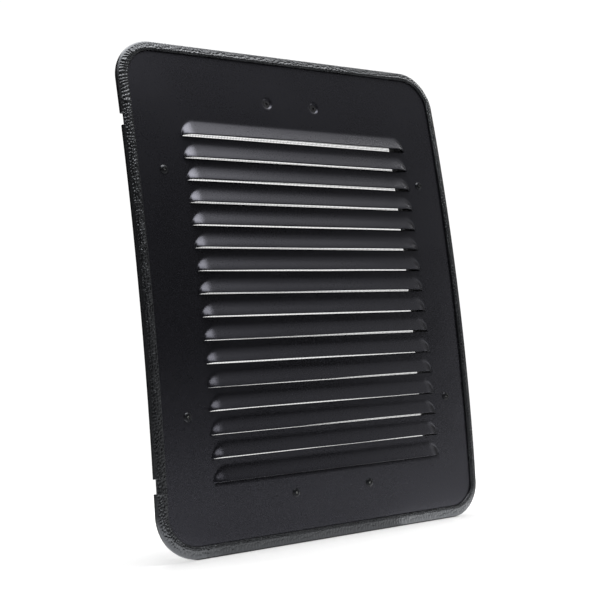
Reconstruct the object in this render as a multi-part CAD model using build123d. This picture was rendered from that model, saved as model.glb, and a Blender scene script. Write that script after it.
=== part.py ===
from build123d import *
import os
from math import sin, cos, tan, atan, radians, degrees, pi

# Louvred vent panel for a van's sliding window.
# Frame: +X to the right seen from outside, +Y into the van, +Z up.
# Origin: lowest line of the edge trim, at the middle of the bottom edge.
# All sizes in millimetres.

# ---- overall, to the trim's outer edge ---------------------------------
W = 360.3            # width
H = 447.0            # height, measured along the bowed surface
R = 2327.0           # bow radius of the sheet's middle surface, axis along X
F = 40.6             # last stretch at top and bottom, left flat by the press
R_TL, R_TR, R_BL, R_BR = 37.6, 36.6, 40.6, 32.6   # outer corner radii of the trim

# ---- sheet ---------------------------------------------------------------
T = 1.5              # sheet thickness
INSET = 2.4          # sheet edge inside the trim's outer edge

# ---- louvres -------------------------------------------------------------
N_LOUVRE = 16
PITCH = 20.0
V_FIRST = H / 2 + 137.9   # shear line of the top louvre, measured up the sheet
TIP_L, TIP_R = -124.8, 133.2     # outer tips of a hood
SLOT_L, SLOT_R = -123.3, 131.9   # ends of the sheared slot
LIP_OUT = 6.3        # outer face of the lip, from the sheet's middle surface
LIP_UP = 1.3         # lip above its shear line
ROOT = 14.2          # from lip to root bend
HOOD_T = 1.3         # hood wall, thinned by pressing
CAP = 12.0           # length of a hood's rounded end
ROOT_BEND = 6.0      # bend radius at the root

# ---- edge trim -----------------------------------------------------------
TRIM_T = 6.2         # across both legs
TRIM_H = 10.2        # crown to leg tip
SLOT_H = 1.1         # half width of the slot between the legs
SLOT_BOTTOM = 2.2    # slot bottom below the crown
CORE_T = 0.4         # clip core
CREST = 5.5          # the section is thickest this far in from the crown
NOSE_R = 2.6         # radius of the rounded crown
NOTCHES = [(58.9, 70.2), (H - 79.5, H - 68.5)]    # along the left side
NOTCH_Y = -1.55      # the crown is cut away behind this depth
JOINT_V = 58.2       # butt joint of the trim, left side
JOINT_GAP = 0.3

# ---- mesh and its frame --------------------------------------------------
MESH_Y0, MESH_Y1 = 0.80, 1.30
MESH_U = 155.0
MESH_V0, MESH_V1 = 37.6, 407.0
FR_Y0 = 1.35
FR_T = 1.5
FR_LIP = 6.0
FR_IN_L, FR_IN_R = 122.7, 120.7    # inner edges of the side strips
FR_OUT = 158.0
FR_BOT = (34.6, 57.6)
FR_TOP = (383.6, 409.6)
FR_SIDE = (57.8, 383.4)

# ---- fixings ---------------------------------------------------------------
RIVETS = {
    "rivet_left_upper": (-145.2, 330.1),
    "rivet_left_lower": (-145.0, 118.2),
    "rivet_right_upper": (144.8, 327.4),
    "rivet_right_lower": (147.5, 117.4),
    "rivet_bottom_left": (-39.4, 44.4),
    "rivet_bottom_right": (44.0, 44.4),
}
RIVET_HEAD_D, RIVET_HEAD_H = 8.0, 1.6
RIVET_D, RIVET_HOLE = 4.0, 4.1
MANDREL_D = 2.3
SCREWS = {"top_screw_left": (-27.0, 399.1), "top_screw_right": (26.6, 399.1)}
NUTS = {"top_nut_left": (-27.0, 399.1), "top_nut_right": (26.6, 399.1)}
SCREW_D = 4.0
SCREW_HEAD_D = 7.2
DIMPLE_D, DIMPLE_DEPTH = 10.5, 1.0

# ---- grip bracket ----------------------------------------------------------
GR_HALF = 40.0
GR_V = (390.1, 408.1)
GR_T = 2.0
GR_DEPTH = 18.0

# =========================================================================
# frame of the bowed sheet
# =========================================================================
T0 = (H / 2 - F) / R                       # half angle of the bowed part
CROWN = TRIM_T / 2
Z_MID = R * sin(T0) + (F - CROWN) * cos(T0) + CROWN
Y_MID = -(R * (1 - cos(T0)) + (F - CROWN) * sin(T0))


def frame_at(v):
    """Point of the middle surface at height v up the sheet, its up and inward directions."""
    s = v - H / 2
    if abs(s) <= H / 2 - F:
        t = s / R
        o = Vector(0, Y_MID + R * (1 - cos(t)), Z_MID + R * sin(t))
    else:
        k = 1 if s > 0 else -1
        t = k * T0
        e = abs(s) - (H / 2 - F)
        o = Vector(0, Y_MID + R * (1 - cos(T0)) + e * sin(T0),
                   Z_MID + k * (R * sin(T0) + e * cos(T0)))
    return o, Vector(0, sin(t), cos(t)), Vector(0, cos(t), -sin(t))


def local(u, v):
    """Location whose x is along the panel, y inwards, z up the sheet."""
    o, up, inn = frame_at(v)
    return Location(Plane(origin=o + Vector(u, 0, 0), x_dir=Vector(1, 0, 0), z_dir=up))


AXIS_C = Vector(0, Y_MID + R, Z_MID)        # centre line of the bow

# =========================================================================
# edge trim: one section carried round the outline
# =========================================================================


def trim_sections():
    """Outer profile, slot and clip core as 2-D wires: x outwards, y into the van."""
    c, h = CROWN, TRIM_H
    # oval outside: a small arc round the crown, a long arc out to the crest, and one down to the tip
    d = CREST - NOSE_R
    crest_r = (d * d + c * c - NOSE_R * NOSE_R) / (2 * (c - NOSE_R))
    k = NOSE_R / (crest_r - NOSE_R)
    jx, jy = -NOSE_R + d * k, (crest_r - c) * k          # where the two arcs meet
    turned = atan((jx + CREST) / (crest_r - c + jy)) / 2
    mx, my = -CREST + crest_r * sin(turned), c - crest_r * (1 - cos(turned))
    tx, ty = -h + 1.0, c - 0.95                          # start of the tip
    leg = (CREST + tx) * -1
    tip_r = (leg * leg + 0.95 * 0.95) / (2 * 0.95)
    turned = atan(leg / (tip_r - 0.95)) / 2
    nx, ny = -CREST - tip_r * sin(turned), c - tip_r * (1 - cos(turned))
    with BuildSketch() as outer:
        with BuildLine():
            ThreePointArc((tx, -ty), (nx, -ny), (-CREST, -c))
            ThreePointArc((-CREST, -c), (mx, -my), (jx, -jy))
            ThreePointArc((jx, -jy), (0, 0), (jx, jy))
            ThreePointArc((jx, jy), (mx, my), (-CREST, c))
            ThreePointArc((-CREST, c), (nx, ny), (tx, ty))
            ThreePointArc((tx, ty), (-h, 1.4), (-h + 0.9, 0.76))
            Line((-h + 0.9, 0.76), (-h + 0.9, -0.76))
            ThreePointArc((-h + 0.9, -0.76), (-h, -1.4), (tx, -ty))
        make_face()
    # slot with two grip fins on each side
    sh, sb = SLOT_H, SLOT_BOTTOM
    pts = [(-sb, -sh), (-sb, sh)]
    for a in (4.0, 6.2):
        pts += [(-a + 0.4, sh), (-a - 0.2, 0.76), (-a - 0.5, 0.76), (-a - 0.9, sh)]
    pts += [(-h + 1.6, sh), (-h + 0.9, 0.76), (-h - 1, 0.76), (-h - 1, -0.76), (-h + 0.9, -0.76), (-h + 1.6, -sh)]
    for a in (6.2, 4.0):
        pts += [(-a - 0.9, -sh), (-a - 0.5, -0.76), (-a - 0.2, -0.76), (-a + 0.4, -sh)]
    with BuildSketch() as slot:
        with BuildLine():
            Polyline(*pts, close=True)
        make_face()
    y0, y1 = 1.4, 1.4 + CORE_T
    x0, x1 = -1.5, -1.5 + CORE_T
    xe = -h + 1.7
    with BuildSketch() as core:
        with BuildLine():
            Polyline((xe, y0), (x0, y0), (x0, -y0), (xe, -y0), (xe, -y1), (x1, -y1), (x1, y1), (xe, y1), close=True)
        make_face()
    return outer.sketch, slot.sketch, core.sketch


def carry(sketch):
    """Carry a section round the outline; x of the section points outwards."""
    parts = []

    def place(u, v, side):
        o, up, inn = frame_at(v)
        n = {"b": up * -1, "t": up, "l": Vector(-1, 0, 0), "r": Vector(1, 0, 0)}[side]
        tdir = n.cross(inn)
        pl = Plane(origin=o + Vector(u, 0, 0), x_dir=n, z_dir=tdir)
        return (pl * sketch).faces(), tdir

    def straight(u, v, side, length):
        if length <= 1e-6:
            return
        faces, tdir = place(u, v, side)
        for f in faces:
            parts.append(extrude(f, amount=length, dir=tdir))

    def turn(u, v, side, cu, cv, arc=90):
        faces, _ = place(u, v, side)
        o, up, inn = frame_at(cv)
        ax = Axis(origin=o + Vector(cu, 0, 0), direction=inn * -1)
        for f in faces:
            parts.append(revolve(f, axis=ax, revolution_arc=arc))

    def bow(u, v, side, direction):
        faces, _ = place(u, v, side)
        ax = Axis(origin=AXIS_C, direction=direction)
        for f in faces:
            parts.append(revolve(f, axis=ax, revolution_arc=degrees(2 * T0)))

    w = W / 2
    # bottom, towards the right
    straight(-w + R_BL, 0, "b", W - R_BL - R_BR)
    turn(w - R_BR, 0, "b", w - R_BR, R_BR)
    straight(w, R_BR, "r", F - R_BR)
    bow(w, F, "r", (-1, 0, 0))
    straight(w, H - F, "r", F - R_TR)
    turn(w, H - R_TR, "r", w - R_TR, H - R_TR)
    straight(w - R_TR, H, "t", W - R_TL - R_TR)
    turn(-w + R_TL, H, "t", -w + R_TL, H - R_TL)
    straight(-w, H - R_TL, "l", F - R_TL)
    bow(-w, H - F, "l", (1, 0, 0))
    straight(-w, F, "l", F - R_BL)
    turn(-w, R_BL, "l", -w + R_BL, R_BL)
    body = parts[0]
    for p in parts[1:]:
        body = body.fuse(p) if not isinstance(body, ShapeList) else body
    return body


outer_s, slot_s, core_s = trim_sections()
trim_section = outer_s - slot_s - core_s
core_section = core_s

edge_trim = carry(trim_section)
trim_core = carry(core_section)

# butt joint and the two notches, all on the left side
cuts = []
loc = local(-W / 2, JOINT_V)
cuts.append(loc * Pos(5, 0, 0) * Box(24, 12, JOINT_GAP))
notch_cuts = []
for v0, v1 in NOTCHES:
    loc = local(-W / 2, (v0 + v1) / 2)
    ln = v1 - v0
    # the crown behind the front leg
    notch_cuts.append(loc * Pos(-5 + INSET + 0.2, NOTCH_Y + 5, 0) * Box(10, 10, ln))
    # the rear leg
    notch_cuts.append(loc * Pos(5, 0.76 + 5, 0) * Box(24, 10, ln))
for c in cuts + notch_cuts:
    edge_trim = edge_trim - c
    trim_core = trim_core - c
# where the notches cut the clip strip, only the front leg of it stays: drop its loose slivers
def keep_large(shape, least):
    kept = [s for s in shape.solids() if s.volume > least]
    return kept[0] if len(kept) == 1 else Compound(children=kept)


edge_trim = keep_large(edge_trim, 5.0)
trim_core = keep_large(trim_core, 1.0)

# =========================================================================
# louvred sheet
# =========================================================================


def band(y0, y1, v0, v1):
    """Profile of a bowed layer between two depths, as a face in the YZ plane."""
    def pt(v, y):
        o, up, inn = frame_at(v)
        p = o + inn * y
        return (p.Y, p.Z)
    va, vb = max(v0, F), min(v1, H - F)
    mid = (va + vb) / 2
    with BuildSketch(Plane.YZ) as sk:
        with BuildLine():
            if v0 < F:
                Line(pt(v0, y0), pt(F, y0))
            ThreePointArc(pt(va, y0), pt(mid, y0), pt(vb, y0))
            if v1 > H - F:
                Line(pt(H - F, y0), pt(v1, y0))
            Line(pt(v1, y0), pt(v1, y1))
            if v1 > H - F:
                Line(pt(v1, y1), pt(H - F, y1))
            ThreePointArc(pt(vb, y1), pt(mid, y1), pt(va, y1))
            if v0 < F:
                Line(pt(F, y1), pt(v0, y1))
            Line(pt(v0, y1), pt(v0, y0))
        make_face()
    return sk.sketch


hw = W / 2 - INSET
sheet = extrude(band(-T / 2, T / 2, INSET, H - INSET), amount=hw, both=True)

# rounded corners
for (su, sv, r) in ((-1, 1, R_TL), (1, 1, R_TR), (-1, -1, R_BL), (1, -1, R_BR)):
    rc = r - INSET
    v_c = (H - r) if sv > 0 else r
    loc = local(su * (W / 2 - r), v_c)
    block = Pos(su * (rc + 4) / 2, 0, sv * (rc + 4) / 2) * Box(rc + 4, 10, rc + 4)
    round_ = Rot(90, 0, 0) * Cylinder(rc, 12)
    sheet = sheet - (loc * (block - round_))

# one hood, in the frame of its shear line: x along, y inwards, z up
slope = (LIP_OUT - T / 2) / ROOT
al = atan(slope)


def hood_outer_profile(base):
    """Region under the hood's outer face: x from the lip plane, y is height out of the sheet."""
    tl = ROOT_BEND * tan(al / 2)
    p_lip = (0, LIP_OUT)
    a = (ROOT - tl * cos(al), T / 2 + tl * sin(al))
    b = (ROOT + tl, T / 2)
    cx, cy = ROOT + tl, T / 2 + ROOT_BEND
    m = (cx - ROOT_BEND * sin(al / 2), cy - ROOT_BEND * cos(al / 2))
    return p_lip, a, m, b, (ROOT + tl, base), (0, base)


def hood_solids():
    p_lip, a, m, b, c, d = hood_outer_profile(-0.45)
    with BuildSketch() as so:
        with BuildLine():
            Line(d, p_lip)
            Line(p_lip, a)
            ThreePointArc(a, m, b)
            Line(b, c)
            Line(c, d)
        make_face()
    # inner face: the outer slope moved in by the wall
    off = HOOD_T / cos(al)
    y_at0 = LIP_OUT - off
    base = -T / 2 - 1.2
    x_end = (y_at0 + T / 2) / slope
    with BuildSketch() as si:
        with BuildLine():
            Polyline((0, base), (0, y_at0), (x_end, -T / 2), (x_end, base), close=True)
        make_face()
    k = CAP / ROOT
    ul, ur = TIP_L + CAP, TIP_R - CAP
    res = []
    for sk in (so.sketch, si.sketch):
        # profile plane: x of the sketch is up the sheet, y is outwards (-Y)
        pl_l = Plane(origin=(ul, 0, LIP_UP), x_dir=(0, 0, 1), z_dir=(1, 0, 0))
        # y of that plane = z_dir x x_dir = (1,0,0)x(0,0,1) = (0,-1,0)
        face = pl_l * sk
        main = extrude(face, amount=ur - ul, dir=(1, 0, 0))
        # rounded ends: a quarter turn about the outward line at the lip plane, drawn in to CAP
        quarter = revolve(Plane(origin=(0, 0, 0), x_dir=(0, 0, 1), z_dir=(1, 0, 0)) * sk,
                          axis=Axis((0, 0, 0), (0, -1, 0)), revolution_arc=90)
        bb = quarter.bounding_box()
        if bb.max.X > 1:      # turned to the right
            q_r = quarter
            q_l = quarter.mirror(Plane.YZ)
        else:
            q_l = quarter
            q_r = quarter.mirror(Plane.YZ)
        q_l = scale(q_l, by=(k, 1, 1))
        q_r = scale(q_r, by=(k, 1, 1))
        res.append((main, Pos(ul, 0, LIP_UP) * q_l, Pos(ur, 0, LIP_UP) * q_r))
    return res


(o_main, o_l, o_r), (i_main, i_l, i_r) = hood_solids()
hood_out = (o_main + o_l + o_r)
slot_box = Pos((SLOT_L + SLOT_R) / 2, 0, (LIP_UP + 0.4) / 2) * Box(SLOT_R - SLOT_L, 2.6, LIP_UP + 0.4)
hood_in = (i_main + i_l + i_r) + slot_box

adds, subs = [], []
for i in range(N_LOUVRE):
    loc = local(0, V_FIRST - i * PITCH)
    adds += [loc * s for s in hood_out.solids()]
    subs += [loc * s for s in hood_in.solids()]
louvre_panel = sheet.fuse(*adds)
louvre_panel = louvre_panel.cut(*subs)


def drill(d, u, v, y0=-6, y1=8):
    return local(u, v) * Pos(0, (y0 + y1) / 2, 0) * Rot(90, 0, 0) * Cylinder(d / 2, y1 - y0)


holes = [drill(RIVET_HOLE, *uv) for uv in RIVETS.values()]
for h_ in holes:
    louvre_panel = louvre_panel - h_

# the two pressed dimples that the screw heads sit in


def turned(pts, u, v):
    """Solid of revolution about the inward line at (u, v); points are (radius, depth inwards)."""
    with BuildSketch(Plane(origin=(0, 0, 0), x_dir=(1, 0, 0), z_dir=(0, 0, 1))) as sk:
        with BuildLine():
            Polyline(*pts, close=True)
        make_face()
    s = revolve(sk.sketch, axis=Axis((0, 0, 0), (0, 1, 0)), revolution_arc=360)
    return local(u, v) * s


f0, r0 = -T / 2, T / 2
for (u, v) in SCREWS.values():
    # metal pushed out at the back of the dimple
    boss = turned([(0, 0), (DIMPLE_D / 2 + 0.6, r0 - 0.1), (DIMPLE_D / 2 + 0.6, r0), (DIMPLE_D / 2 - 1.4, r0 + DIMPLE_DEPTH), (0, r0 + DIMPLE_DEPTH)], u, v)
    hollow = turned([(0, f0 - 1), (DIMPLE_D / 2, f0 - 1), (DIMPLE_D / 2, f0), (SCREW_HEAD_D / 2 + 0.3, f0 + DIMPLE_DEPTH),
                     (SCREW_D / 2 + 0.05, f0 + DIMPLE_DEPTH + 1.45), (SCREW_D / 2 + 0.05, 4), (0, 4)], u, v)
    louvre_panel = (louvre_panel + boss) - hollow
louvre_panel = keep_large(louvre_panel, 50)

# =========================================================================
# mesh and frame
# =========================================================================
insect_mesh = extrude(band(MESH_Y0, MESH_Y1, MESH_V0, MESH_V1), amount=MESH_U, both=True)
for h_ in holes:
    insect_mesh = insect_mesh - h_
for (u, v) in SCREWS.values():
    insect_mesh = insect_mesh - drill(DIMPLE_D + 1.6, u, v)


def side_strip(sign):
    """Angle strip beside the mesh: flange against it, lip along the inner edge."""
    fr_in = FR_IN_L if sign < 0 else FR_IN_R
    fl = extrude(band(FR_Y0, FR_Y0 + FR_T, *FR_SIDE), amount=(FR_OUT - fr_in) / 2, both=True)
    lp = extrude(band(FR_Y0, FR_Y0 + FR_LIP, *FR_SIDE), amount=FR_T / 2, both=True)
    s = (Pos(sign * (fr_in + FR_OUT) / 2, 0, 0) * fl) + (Pos(sign * (fr_in + FR_T / 2), 0, 0) * lp)
    return s


def cross_strip(v0, v1, lip_low):
    """Angle strip above or below the mesh window."""
    loc = local(0, (v0 + v1) / 2)
    ln = 2 * FR_OUT
    d = v1 - v0
    fl = Pos(0, FR_Y0 + FR_T / 2, 0) * Box(ln, FR_T, d)
    zl = (-d / 2 + FR_T / 2) if lip_low else (d / 2 - FR_T / 2)
    lp = Pos((FR_IN_R - FR_IN_L) / 2, FR_Y0 + FR_LIP / 2, zl) * Box(FR_IN_L + FR_IN_R, FR_LIP, FR_T)
    return loc * (fl + lp)


mesh_frame_left = side_strip(-1)
mesh_frame_right = side_strip(1)
mesh_frame_bottom = cross_strip(*FR_BOT, lip_low=False)
mesh_frame_top = cross_strip(*FR_TOP, lip_low=True)
for h_ in holes:
    mesh_frame_left -= h_
    mesh_frame_right -= h_
    mesh_frame_bottom -= h_
for (u, v) in SCREWS.values():
    mesh_frame_top -= drill(DIMPLE_D + 1.6, u, v)

# =========================================================================
# rivets, screws, nuts, washers
# =========================================================================
rivets = {}
mandrels = []
back = FR_Y0 + FR_T
for name, (u, v) in RIVETS.items():
    rh, hh = RIVET_HEAD_D / 2, RIVET_HEAD_H
    rs, rm = RIVET_D / 2, MANDREL_D / 2
    with BuildSketch() as sk:
        with BuildLine():
            Line((rm, f0 - hh), (rm, back + 3.2))
            Line((rm, back + 3.2), (rs + 0.5, back + 3.2))
            ThreePointArc((rs + 0.5, back + 3.2), (rs + 1.0, back + 1.7), (rs + 0.6, back))
            Line((rs + 0.6, back), (rs, back))
            Line((rs, back), (rs, f0))
            Line((rs, f0), (rh, f0))
            Line((rh, f0), (rh, f0 - 0.25))
            ThreePointArc((rh, f0 - 0.25), (rh * 0.72, f0 - hh * 0.78), (rm, f0 - hh))
        make_face()
    rivets[name] = local(u, v) * revolve(sk.sketch, axis=Axis((0, 0, 0), (0, 1, 0)), revolution_arc=360)
    m = turned([(0, f0 - hh + 0.9), (rm - 0.02, f0 - hh + 0.9), (rm - 0.02, back + 3.25), (rm + 0.55, back + 3.25),
                (rm + 0.55, back + 4.3), (rm, back + 4.9), (0, back + 4.9)], u, v)
    mandrels.append(m)

screws, nuts = {}, {}
washers = []
gr_back = back + GR_T + 0.06
for name, (u, v) in SCREWS.items():
    hd = f0 + DIMPLE_DEPTH
    s = turned([(0, hd), (SCREW_HEAD_D / 2, hd), (SCREW_D / 2, hd + 1.4), (SCREW_D / 2, gr_back + 6.0), (0, gr_back + 6.0)], u, v)
    recess = extrude(RegularPolygon(1.45, 6), amount=1.3)
    s = s - (local(u, v) * Pos(0, hd - 0.001, 0) * Rot(-90, 0, 0) * recess)
    screws[name] = s
    washers.append(turned([(SCREW_D / 2 + 0.15, gr_back), (4.5, gr_back), (4.5, gr_back + 0.8), (SCREW_D / 2 + 0.15, gr_back + 0.8)], u, v))
for name, (u, v) in NUTS.items():
    n = extrude(RegularPolygon(7.0 / 2, 6, major_radius=False) - Circle(SCREW_D / 2 + 0.02), amount=3.2)
    n = chamfer(n.edges().filter_by(GeomType.LINE).filter_by(Plane.XY).sort_by(Axis.Z)[-6:], 0.35)
    nuts[name] = local(u, v) * Pos(0, gr_back + 0.8, 0) * Rot(-90, 0, 0) * n

# =========================================================================
# grip bracket behind the two screws
# =========================================================================
v_strip = (FR_TOP[0] + FR_TOP[1]) / 2
v_mid = (GR_V[0] + GR_V[1]) / 2
loc = local(0, v_strip) * Pos(0, 0.02, v_mid - v_strip)      # on the strip's own flat
d = GR_V[1] - GR_V[0]
base_ = Pos(0, back + GR_T / 2, 0) * Box(2 * GR_HALF, GR_T, d)
shelf = Pos(0, back + GR_DEPTH / 2, d / 2 - GR_T / 2) * Box(2 * GR_HALF, GR_DEPTH, GR_T)
grip = base_ + shelf
# bend radius, inside and out
inner = grip.edges().filter_by(Axis.X).filter_by_position(Axis.Y, back + GR_T - 0.01, back + GR_T + 0.01).sort_by(Axis.Z)
inner_e = [e for e in inner if abs(e.center().Z - (d / 2 - GR_T)) < 0.01]
grip = fillet(inner_e, 1.5)
outer_e = [e for e in grip.edges().filter_by(Axis.X) if abs(e.center().Y - back) < 0.01 and abs(e.center().Z - d / 2) < 0.01]
grip = fillet(outer_e, 3.2)
free = [e for e in grip.edges().filter_by(Axis.Z) if abs(e.center().Y - (back + GR_DEPTH)) < 0.01]
grip = fillet(free, 6.0)
low = [e for e in grip.edges().filter_by(Axis.Y) if abs(e.center().Z + d / 2) < 0.01]
grip = fillet(low, 4.0)
grip_bracket = loc * grip
for (u, v) in SCREWS.values():
    grip_bracket = grip_bracket - drill(SCREW_D + 0.4, u, v, -6, 14)

# =========================================================================
# write the pieces
# =========================================================================
nodes = {
    "louvre_panel": louvre_panel,
    "edge_trim": edge_trim,
    "trim_clip_core": trim_core,
    "insect_mesh": insect_mesh,
    "mesh_frame_top": mesh_frame_top,
    "mesh_frame_bottom": mesh_frame_bottom,
    "mesh_frame_left": mesh_frame_left,
    "mesh_frame_right": mesh_frame_right,
    "grip_bracket": grip_bracket,
    "rivet_mandrels": Compound(children=[m.solids()[0] for m in mandrels]),
    "top_washers": Compound(children=[w_.solids()[0] for w_ in washers]),
}
nodes.update(rivets)
nodes.update(screws)
nodes.update(nuts)

os.makedirs("parts", exist_ok=True)
for name, shape in nodes.items():
    export_step(shape, f"parts/{name}.step")
    bb = shape.bounding_box()
    print(f"{name}: {len(shape.solids())} solid(s), x {bb.min.X:.1f}..{bb.max.X:.1f}, "
          f"y {bb.min.Y:.1f}..{bb.max.Y:.1f}, z {bb.min.Z:.1f}..{bb.max.Z:.1f}")
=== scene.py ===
import math

import bpy
import numpy as np
from mathutils import Matrix, Vector


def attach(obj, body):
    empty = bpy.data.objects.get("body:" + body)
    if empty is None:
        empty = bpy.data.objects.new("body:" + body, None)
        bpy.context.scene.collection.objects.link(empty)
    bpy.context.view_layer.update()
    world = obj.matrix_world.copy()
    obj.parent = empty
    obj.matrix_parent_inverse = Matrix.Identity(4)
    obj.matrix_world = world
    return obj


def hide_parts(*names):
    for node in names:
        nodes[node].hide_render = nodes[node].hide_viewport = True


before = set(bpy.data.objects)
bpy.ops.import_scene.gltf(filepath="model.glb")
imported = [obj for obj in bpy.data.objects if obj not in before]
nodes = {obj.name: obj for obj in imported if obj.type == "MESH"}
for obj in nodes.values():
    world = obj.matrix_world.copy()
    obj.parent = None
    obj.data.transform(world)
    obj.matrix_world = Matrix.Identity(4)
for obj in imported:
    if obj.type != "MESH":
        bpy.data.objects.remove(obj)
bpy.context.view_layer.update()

MM = 0.001

# ---- sizes, in millimetres, as in the CAD source ---------------------------
W, H = 360.3, 447.0
R, F = 2327.0, 40.6
R_TL, R_TR, R_BL, R_BR = 37.6, 36.6, 40.6, 32.6
T, INSET = 1.5, 2.4
N_LOUVRE, PITCH = 16, 20.0
V_FIRST = H / 2 + 137.9
SLOT_L, SLOT_R = -123.3, 131.9
TIP_L, TIP_R = -124.6, 133.0
CROWN = 3.1
TRIM_H = 10.2
NOTCHES = [(58.9, 70.2), (H - 79.5, H - 68.5)]
NOTCH_Y = -1.14
JOINT_V = 58.2
RIVETS = [(-145.2, 330.1), (-145.0, 118.2), (144.8, 327.4), (147.5, 117.4), (-39.4, 44.4), (44.0, 44.4)]
SCREWS = [(-27.0, 399.1), (26.6, 399.1)]
MESH_Y, MESH_U, MESH_V = 1.05, 155.0, (37.6, 407.0)

T0 = (H / 2 - F) / R
Z_MID = R * math.sin(T0) + (F - CROWN) * math.cos(T0) + CROWN
Y_MID = -(R * (1 - math.cos(T0)) + (F - CROWN) * math.sin(T0))


def surf(u, v, d):
    """Row-frame points (mm) at u along the panel, v up the sheet and d inwards of its middle surface."""
    s = np.asarray(v, float) - H / 2
    a = np.clip(s, -(H / 2 - F), H / 2 - F)
    t, e = a / R, s - a
    y = Y_MID + R * (1 - np.cos(t)) + e * np.sin(t) + d * np.cos(t)
    z = Z_MID + R * np.sin(t) + e * np.cos(t) - d * np.sin(t)
    return np.stack(np.broadcast_arrays(np.asarray(u, float), y, z), -1)


# ---- noise in numpy, seeded by integer hashing ------------------------------
def rnd(ix, iy, k):
    n = (ix.astype(np.int64) * 374761393 + iy.astype(np.int64) * 668265263 + k * 2147483647) & 0xFFFFFFFF
    n = ((n ^ (n >> 13)) * 1274126177) & 0xFFFFFFFF
    n = ((n ^ (n >> 15)) * 2246822519) & 0xFFFFFFFF
    return ((n ^ (n >> 16)) & 0xFFFFFF) / float(0x1000000)


def vnoise(x, y, k=0):
    """Smooth value noise, -1..1."""
    ix, iy = np.floor(x), np.floor(y)
    fx, fy = x - ix, y - iy
    fx, fy = fx * fx * (3 - 2 * fx), fy * fy * (3 - 2 * fy)
    a, b = rnd(ix, iy, k), rnd(ix + 1, iy, k)
    c, d = rnd(ix, iy + 1, k), rnd(ix + 1, iy + 1, k)
    return 2 * ((a + (b - a) * fx) * (1 - fy) + (c + (d - c) * fx) * fy) - 1


def cells(x, y, k=0, jitter=0.8):
    """Distances to the nearest and second nearest cell points, and the nearest cell's own number."""
    ix, iy = np.floor(x), np.floor(y)
    f1 = np.full(np.shape(x), 9.0)
    f2 = np.full(np.shape(x), 9.0)
    own = np.zeros(np.shape(x))
    for dx in (-1, 0, 1):
        for dy in (-1, 0, 1):
            cx, cy = ix + dx, iy + dy
            px = cx + 0.5 + jitter * (rnd(cx, cy, k) - 0.5)
            py = cy + 0.5 + jitter * (rnd(cx, cy, k + 7) - 0.5)
            dd = np.hypot(px - x, py - y)
            near = dd < f1
            f2 = np.where(near, f1, np.minimum(f2, dd))
            own = np.where(near, rnd(cx, cy, k + 13), own)
            f1 = np.where(near, dd, f1)
    return f1, f2, own


def smooth(x, lo, hi):
    t = np.clip((np.asarray(x, float) - lo) / (hi - lo), 0, 1)
    return t * t * (3 - 2 * t)


# ---- meshes ------------------------------------------------------------------
def mesh_object(name, verts, quads, tris=None, attrs=None):
    """An object from arrays in millimetres."""
    me = bpy.data.meshes.new(name)
    verts = np.asarray(verts, np.float64) * MM
    quads = np.asarray(quads, np.int32).reshape(-1, 4)
    tris = np.zeros((0, 3), np.int32) if tris is None else np.asarray(tris, np.int32).reshape(-1, 3)
    me.vertices.add(len(verts))
    me.vertices.foreach_set("co", verts.astype(np.float32).ravel())
    nl = quads.size + tris.size
    me.loops.add(nl)
    me.loops.foreach_set("vertex_index", np.concatenate([quads.ravel(), tris.ravel()]))
    me.polygons.add(len(quads) + len(tris))
    starts = np.concatenate([np.arange(len(quads)) * 4, quads.size + np.arange(len(tris)) * 3])
    me.polygons.foreach_set("loop_start", starts.astype(np.int32))
    me.polygons.foreach_set("use_smooth", np.ones(len(starts), bool))
    for key, values in (attrs or {}).items():
        a = me.attributes.new(key, "FLOAT", "POINT")
        a.data.foreach_set("value", np.asarray(values, np.float32))
    me.update(calc_edges=True)
    me.validate()
    o = bpy.data.objects.new(name, me)
    bpy.context.scene.collection.objects.link(o)
    return o


# =============================================================================
# the louvred sheet
# =============================================================================
LIP_MID = 5.65       # middle surface of the lip, out from the sheet's
LIP_UP = 1.0         # how far the lip's middle surface rises above its shear line
FOOT = [14.2] + [13.6] * 15     # foot of each hood, up from its shear line
STRAIGHT = [0.85] + [0.42] * 15  # 1: the face is straight from foot to lip, less: it starts flatter at the foot
CAP_L, CAP_R = 12.4, 12.0
CAP_SOFT = 0.07      # how softly a rounded end runs into the straight part

# unevenness of the pressing: each lip's line above or below its usual height, at seven places from left to right
LIP_PLACES = [-105.0, -70.0, -35.0, 0.0, 35.0, 70.0, 105.0]
LIP_EXTRA = [
    [-0.13, 0.32, 0.67, 0.8, 0.82, 0.8, 0.85],
    [-0.97, -0.79, -0.65, -0.69, -0.72, -0.66, -0.6],
    [-0.58, -0.5, -0.31, -0.11, -0.07, -0.1, -0.1],
    [-0.76, -0.66, -0.45, -0.25, -0.19, -0.17, -0.12],
    [-0.91, -0.79, -0.6, -0.46, -0.42, -0.36, -0.24],
    [-0.54, -0.55, -0.52, -0.46, -0.25, -0.05, -0.05],
    [-0.95, -0.7, -0.49, -0.44, -0.33, -0.26, -0.34],
    [-0.43, -0.48, -0.49, -0.25, 0.05, 0.09, 0.02],
    [-0.45, -0.28, -0.09, -0.02, -0.07, -0.12, -0.22],
    [-0.5, -0.55, -0.42, -0.2, 0.12, 0.41, 0.43],
    [0.04, 0.11, 0.11, 0.07, -0.07, -0.26, -0.31],
    [-0.8, -0.61, -0.4, -0.18, 0.14, 0.41, 0.48],
    [0.04, 0.13, 0.23, 0.21, -0.07, -0.31, -0.26],
    [-0.3, -0.22, -0.04, 0.3, 0.61, 0.71, 0.7],
    [0.22, 0.18, 0.16, -0.07, -0.19, 0.12, 0.31],
    [-0.35, -0.35, -0.34, -0.3, -0.28, -0.29, -0.29],
]


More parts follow.
